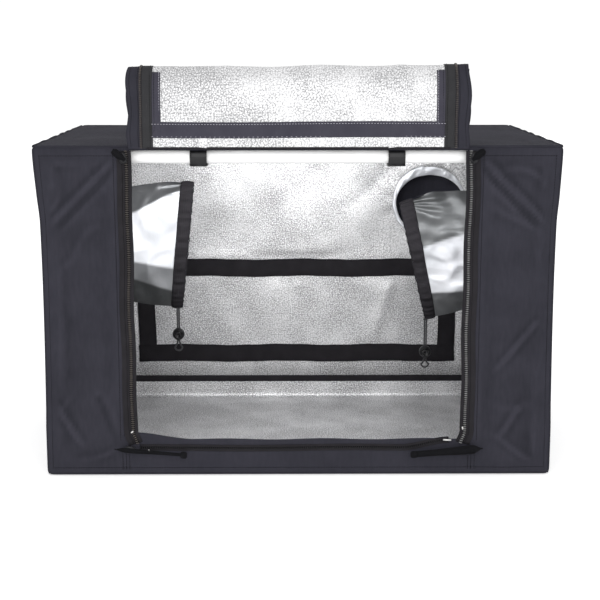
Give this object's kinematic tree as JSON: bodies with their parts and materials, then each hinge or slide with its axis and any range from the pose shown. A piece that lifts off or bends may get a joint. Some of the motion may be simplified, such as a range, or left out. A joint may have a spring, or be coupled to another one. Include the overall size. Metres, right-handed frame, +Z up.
{
  "type": "propagation tent",
  "caption": "Small box-shaped propagation tent: steel pole frame in a black cover with a silver lining, front door rolled up on the roof, cable sleeves and a rear vent.",
  "frame": {"origin": "on the floor, under the middle of the object's box, cords left out", "axes": "+Z up, +Y from the doorway to the rear wall, +X to the right as seen from the front"},
  "size_m": [0.6, 0.4502, 0.478],
  "materials": {
    "white_pole": "white powder-coated steel tube, smooth and slightly glossy",
    "black_plastic": "black moulded plastic, glossy",
    "black_cloth": "coarse black polyester weave, matt, silver film on its inner face",
    "silver_lining": "pebble-embossed silver film laminated to cloth",
    "silver_cloth": "thin silver-coated cloth, smooth, with soft wrinkles",
    "black_tape": "black woven tape and zip tape, matt",
    "black_net": "fine black net",
    "black_cord": "black braided drawcord",
    "nickel": "plated zip slider"
  },
  "bodies": {
    "tent": {"pole_bottom_front": "white_pole", "pole_bottom_back": "white_pole", "pole_top_front": "white_pole", "pole_top_back": "white_pole", "pole_bottom_left": "white_pole", "pole_bottom_right": "white_pole", "pole_top_left": "white_pole", "pole_top_right": "white_pole", "pole_upright_front_left": "white_pole", "pole_upright_front_right": "white_pole", "pole_upright_back_left": "white_pole", "pole_upright_back_right": "white_pole", "joiner_bottom_front_left": "black_plastic", "joiner_bottom_front_right": "black_plastic", "joiner_bottom_back_left": "black_plastic", "joiner_bottom_back_right": "black_plastic", "joiner_top_front_left": "black_plastic", "joiner_top_front_right": "black_plastic", "joiner_top_back_left": "black_plastic", "joiner_top_back_right": "black_plastic", "front_panel": "black_cloth", "back_panel": "black_cloth", "left_panel": "black_cloth", "right_panel": "black_cloth", "roof_panel": "black_cloth", "floor_panel": "black_cloth", "floor_tray": "silver_lining", "vent_net": "black_net", "zip_left": "black_tape", "zip_right": "black_tape", "zip_bottom": "black_tape", "pole_clip_left": "black_plastic", "pole_clip_right": "black_plastic", "sleeve_left": "silver_cloth", "sleeve_right": "silver_cloth", "sleeve_back": "black_cloth", "cord_left": "black_cord", "cord_right": "black_cord", "cord_back": "black_cord"},
    "hanging_bar": {"hanging_bar": "white_pole", "bar_grip_left": "black_plastic", "bar_grip_right": "black_plastic"},
    "vent_flap": {"vent_flap": "silver_lining"},
    "door": {"door_roll": "silver_lining", "door_band": "black_tape"},
    "slider_left": {"slider_left": "nickel"},
    "pull_left": {"pull_left": "black_tape"},
    "slider_low_left": {"slider_low_left": "nickel"},
    "pull_low_left": {"pull_low_left": "black_tape"},
    "slider_right": {"slider_right": "nickel"},
    "pull_right": {"pull_right": "black_tape"},
    "slider_low_right": {"slider_low_right": "nickel"},
    "pull_low_right": {"pull_low_right": "black_tape"},
    "lock_left": {"lock_left": "black_plastic"},
    "lock_button_left": {"lock_button_left": "black_plastic"},
    "lock_right": {"lock_right": "black_plastic"},
    "lock_button_right": {"lock_button_right": "black_plastic"},
    "lock_back": {"lock_back": "black_plastic"},
    "lock_button_back": {"lock_button_back": "black_plastic"}
  },
  "joints": [
    {"name": "bar_slide", "type": "slide", "parent": "tent", "child": "hanging_bar", "axis": [0, 1, 0], "range_m": [-0.1, 0.1]},
    {"name": "vent_flap_hinge", "type": "hinge", "parent": "tent", "child": "vent_flap", "pos_m": [0, 0.1801, 0.2], "axis": [-1, 0, 0], "range_deg": [0, 150]},
    {"name": "door_flip", "type": "hinge", "parent": "tent", "child": "door", "pos_m": [0, -0.2188, 0.385], "axis": [1, 0, 0], "range_deg": [0, 160]},
    {"name": "slider_left_slide", "type": "slide", "parent": "tent", "child": "slider_left", "axis": [0, 0, -1], "range_m": [0, 0.3]},
    {"name": "pull_left_swing", "type": "hinge", "parent": "slider_left", "child": "pull_left", "pos_m": [-0.199, -0.2242, 0.376], "axis": [0, 1, 0], "range_deg": [-30, 120]},
    {"name": "slider_low_left_slide", "type": "slide", "parent": "tent", "child": "slider_low_left", "axis": [1, 0, 0], "range_m": [0, 0.12]},
    {"name": "pull_low_left_swing", "type": "hinge", "parent": "slider_low_left", "child": "pull_low_left", "pos_m": [-0.2, -0.2242, 0.033], "axis": [0, -1, 0], "range_deg": [-12, 75]},
    {"name": "slider_right_slide", "type": "slide", "parent": "tent", "child": "slider_right", "axis": [0, 0, -1], "range_m": [0, 0.3]},
    {"name": "pull_right_swing", "type": "hinge", "parent": "slider_right", "child": "pull_right", "pos_m": [0.199, -0.2242, 0.376], "axis": [0, -1, 0], "range_deg": [-30, 120]},
    {"name": "slider_low_right_slide", "type": "slide", "parent": "tent", "child": "slider_low_right", "axis": [-1, 0, 0], "range_m": [0, 0.12]},
    {"name": "pull_low_right_swing", "type": "hinge", "parent": "slider_low_right", "child": "pull_low_right", "pos_m": [0.2, -0.2242, 0.033], "axis": [0, 1, 0], "range_deg": [-12, 75]},
    {"name": "lock_left_slide", "type": "slide", "parent": "tent", "child": "lock_left", "axis": [0, 0, 1], "range_m": [0, 0.025]},
    {"name": "lock_button_left_press", "type": "slide", "parent": "lock_left", "child": "lock_button_left", "axis": [0, 1, 0], "range_m": [0, 0.002], "stiffness_N_per_m": 400, "springref_m": -0.002},
    {"name": "lock_right_slide", "type": "slide", "parent": "tent", "child": "lock_right", "axis": [0, 0, 1], "range_m": [0, 0.033]},
    {"name": "lock_button_right_press", "type": "slide", "parent": "lock_right", "child": "lock_button_right", "axis": [0, 1, 0], "range_m": [0, 0.002], "stiffness_N_per_m": 400, "springref_m": -0.002},
    {"name": "lock_back_slide", "type": "slide", "parent": "tent", "child": "lock_back", "axis": [0, 0, 1], "range_m": [0, 0.026]},
    {"name": "lock_button_back_press", "type": "slide", "parent": "lock_back", "child": "lock_button_back", "axis": [0, -1, 0], "range_m": [0, 0.002], "stiffness_N_per_m": 400, "springref_m": -0.002}
  ]
}
